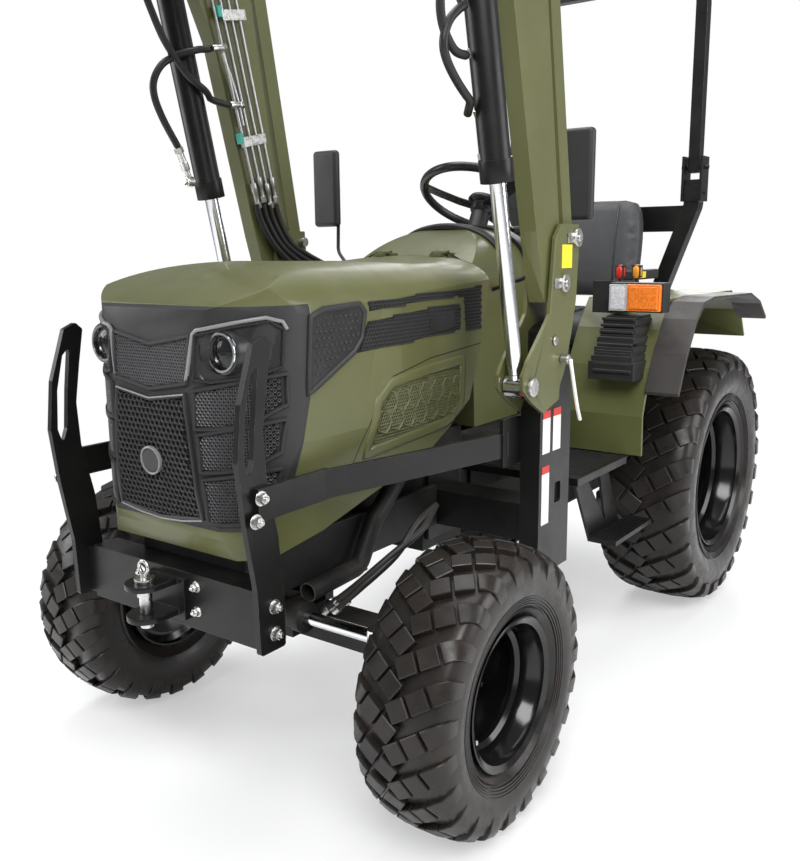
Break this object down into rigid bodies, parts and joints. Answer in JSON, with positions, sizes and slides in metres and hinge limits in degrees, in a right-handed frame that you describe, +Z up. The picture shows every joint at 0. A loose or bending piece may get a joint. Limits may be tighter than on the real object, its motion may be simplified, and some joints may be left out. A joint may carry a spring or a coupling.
{
  "type": "compact farm tractor with front loader",
  "caption": "Compact farm tractor with a raised front loader, roll bar, driver's seat behind a sloping hood, small steered front wheels and larger rear wheels",
  "frame": {"origin": "bottom centre of the bounding box, on the ground under the middle of the whole length", "axes": "X to the tractor's left, Y back towards the hitch (the hood faces -Y), Z up"},
  "size_m": [1.22, 3.1012, 2.5832],
  "materials": {
    "tyre_rubber": "moulded",
    "rim_gloss_black": "gloss",
    "cast_dark": "painted",
    "bright_rod": "polished",
    "black_plastic": "grained",
    "olive_paint": "gloss",
    "lamp_lens": "clear",
    "black_paint": "satin",
    "zinc_pin": "zinc plated",
    "grey_plastic": "grained",
    "seat_vinyl": "vinyl"
  },
  "bodies": {
    "chassis": {"bumper_beam": "black_paint", "dash_cowl": "olive_paint", "dash_panel": "black_plastic", "drawbar": "cast_dark", "engine_block": "cast_dark", "exhaust_pipe": "cast_dark", "fender_flares": "grey_plastic", "fender_pods": "black_plastic", "fenders": "olive_paint", "foot_deck": "black_paint", "front_axle": "cast_dark", "front_frame": "cast_dark", "gearbox": "cast_dark", "guard_arms": "black_paint", "guard_braces": "black_paint", "hand_levers": "black_plastic", "lamp_bodies": "black_plastic", "lamp_lenses": "lamp_lens", "loader_posts": "black_paint", "lower_links": "black_paint", "mast_pins": "zinc_pin", "mast_plates": "olive_paint", "mirrors": "black_plastic", "rops_posts": "black_paint", "seat_back": "seat_vinyl", "seat_cushion": "seat_vinyl", "seat_mount": "black_plastic", "tow_clevis": "black_paint", "tow_pin": "zinc_pin"},
    "knuckle_left": {"knuckle_left": "cast_dark"},
    "knuckle_right": {"knuckle_right": "cast_dark"},
    "wheel_front_left": {"tyre_front_left": "tyre_rubber", "rim_front_left": "rim_gloss_black"},
    "wheel_front_right": {"tyre_front_right": "tyre_rubber", "rim_front_right": "rim_gloss_black"},
    "wheel_rear_left": {"tyre_rear_left": "tyre_rubber", "rim_rear_left": "rim_gloss_black"},
    "wheel_rear_right": {"tyre_rear_right": "tyre_rubber", "rim_rear_right": "rim_gloss_black"},
    "steering_rod": {"steering_rod": "bright_rod"},
    "steering_wheel": {"steering_wheel": "black_plastic"},
    "hood": {"hood_shell": "olive_paint", "grille_mask": "black_plastic", "headlamps": "lamp_lens"},
    "rops_hoop": {"rops_hoop": "black_paint"},
    "boom": {"boom_arms": "olive_paint"},
    "level_links": {"level_links": "olive_paint"},
    "bell_cranks": {"bell_cranks": "olive_paint"},
    "tilt_barrels": {"tilt_barrels": "black_paint"},
    "tilt_rods": {"tilt_rods": "bright_rod"},
    "bucket_pins": {"bucket_pins": "zinc_pin"},
    "bucket": {"bucket": "black_paint"},
    "lift_barrels": {"lift_barrels": "black_paint"},
    "lift_rods": {"lift_rods": "bright_rod"}
  },
  "joints": [
    {"name": "steer_left", "type": "hinge", "parent": "chassis", "child": "knuckle_left", "pos_m": [0.352, -0.54136, 0.295], "axis": [0, 0, 1], "range_deg": [-35, 35]},
    {"name": "steer_right", "type": "hinge", "parent": "chassis", "child": "knuckle_right", "pos_m": [-0.352, -0.54136, 0.295], "axis": [0, 0, 1], "range_deg": [-36, 36]},
    {"name": "wheel_front_left_spin", "type": "hinge", "parent": "knuckle_left", "child": "wheel_front_left", "pos_m": [0.495, -0.54136, 0.295], "axis": [1, 0, 0], "continuous": true},
    {"name": "wheel_front_right_spin", "type": "hinge", "parent": "knuckle_right", "child": "wheel_front_right", "pos_m": [-0.495, -0.54136, 0.295], "axis": [1, 0, 0], "continuous": true},
    {"name": "wheel_rear_left_spin", "type": "hinge", "parent": "chassis", "child": "wheel_rear_left", "pos_m": [0.395, 0.95864, 0.415], "axis": [1, 0, 0], "continuous": true},
    {"name": "wheel_rear_right_spin", "type": "hinge", "parent": "chassis", "child": "wheel_rear_right", "pos_m": [-0.395, 0.95864, 0.415], "axis": [1, 0, 0], "continuous": true},
    {"name": "steering_rod_slide", "type": "slide", "parent": "chassis", "child": "steering_rod", "axis": [1, 0, 0], "range_m": [-0.09, 0.09]},
    {"name": "steering_wheel_turn", "type": "hinge", "parent": "chassis", "child": "steering_wheel", "pos_m": [0, 0.31065, 1.29], "axis": [0, 0.4695, 0.8829], "range_deg": [-430, 430]},
    {"name": "hood_hinge", "type": "hinge", "parent": "chassis", "child": "hood", "pos_m": [0, -0.05336, 1.146], "axis": [-1, 0, 0], "range_deg": [0, 50]},
    {"name": "rops_fold", "type": "hinge", "parent": "chassis", "child": "rops_hoop", "pos_m": [0, 1.10864, 1.412], "axis": [-1, 0, 0], "range_deg": [0, 110]},
    {"name": "boom_lift", "type": "hinge", "parent": "chassis", "child": "boom", "pos_m": [0, -0.10336, 1.077], "axis": [1, 0, 0], "range_deg": [0, 95]},
    {"name": "level_link_swing", "type": "hinge", "parent": "chassis", "child": "level_links", "pos_m": [0, -0.04336, 1.177], "axis": [1, 0, 0], "range_deg": [0, 95.5]},
    {"name": "bell_crank_swing", "type": "hinge", "parent": "boom", "child": "bell_cranks", "pos_m": [0, -0.24636, 1.86], "axis": [1, 0, 0], "range_deg": [-95.5, 0]},
    {"name": "tilt_barrel_swing", "type": "hinge", "parent": "bell_cranks", "child": "tilt_barrels", "pos_m": [0, -0.26213, 1.984], "axis": [1, 0, 0], "range_deg": [0, 95.5]},
    {"name": "tilt_rod_slide", "type": "slide", "parent": "tilt_barrels", "child": "tilt_rods", "axis": [0, -0.885, 0.4656], "range_m": [-0.05, 0.1]},
    {"name": "bucket_level", "type": "hinge", "parent": "boom", "child": "bucket_pins", "pos_m": [0, -0.93664, 2.22318], "axis": [1, 0, 0], "range_deg": [-95.5, 0]},
    {"name": "bucket_tilt", "type": "hinge", "parent": "bucket_pins", "child": "bucket", "pos_m": [0, -0.93664, 2.22318], "axis": [1, 0, 0], "range_deg": [-15, 38]},
    {"name": "lift_barrel_swing", "type": "hinge", "parent": "boom", "child": "lift_barrels", "pos_m": [0, -0.47736, 1.89], "axis": [1, 0, 0], "range_deg": [-3, 0]},
    {"name": "lift_rod_slide", "type": "slide", "parent": "lift_barrels", "child": "lift_rods", "axis": [0, 0.2164, -0.9763], "range_m": [-0.4, 0]}
  ],
  "couplings": [
    {"joint": "steer_right", "follows": "steer_left", "ratio": 1},
    {"joint": "steering_rod_slide", "follows": "steer_left", "m_per_rad": 0.13145},
    {"joint": "steering_wheel_turn", "follows": "steer_left", "ratio": 12},
    {"joint": "level_link_swing", "follows": "boom_lift", "ratio": 1},
    {"joint": "bell_crank_swing", "follows": "boom_lift", "ratio": -1},
    {"joint": "tilt_barrel_swing", "follows": "boom_lift", "ratio": 1},
    {"joint": "bucket_level", "follows": "boom_lift", "ratio": -1},
    {"joint": "tilt_rod_slide", "follows": "bucket_tilt", "m_per_rad": 0.09},
    {"joint": "lift_barrel_swing", "follows": "boom_lift", "ratio": -0.022},
    {"joint": "lift_rod_slide", "follows": "boom_lift", "m_per_rad": -0.2328}
  ]
}
